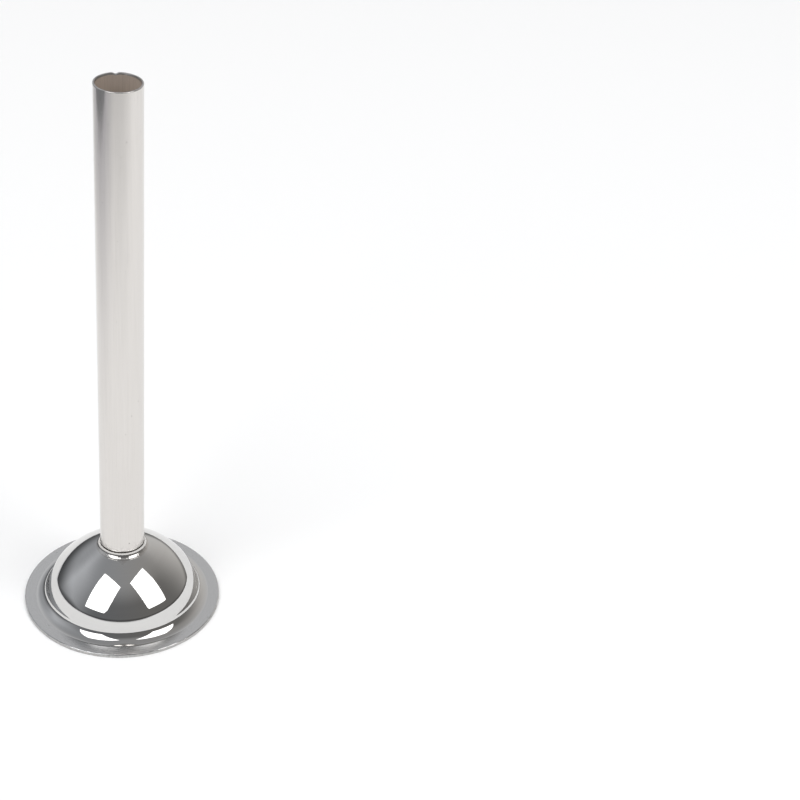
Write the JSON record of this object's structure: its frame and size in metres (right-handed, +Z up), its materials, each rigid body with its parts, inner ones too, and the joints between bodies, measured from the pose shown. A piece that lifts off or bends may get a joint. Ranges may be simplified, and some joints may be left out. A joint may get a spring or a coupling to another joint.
{
  "type": "sausage stuffing tube",
  "caption": "Stainless steel sausage stuffing tube: a slim straight tube welded into the crown of a domed base with a flat clamping flange.",
  "frame": {"origin": "centre of the flange's underside, on the tube's axis", "axes": "+Z runs up the tube's axis from the flange to the open end, -Y faces the camera of the picture"},
  "size_m": [0.054, 0.054, 0.155],
  "materials": {
    "pressed_steel": "stainless sheet, the dome polished to a mirror, the flange and the inside left satin",
    "tube_steel": "stainless tube, polished outside, dull drawn surface inside",
    "weld_steel": "stainless weld, ground and polished"
  },
  "bodies": {
    "root": {"flanged_dome": "pressed_steel", "stuffing_tube": "tube_steel", "neck_weld": "weld_steel"}
  },
  "joints": []
}
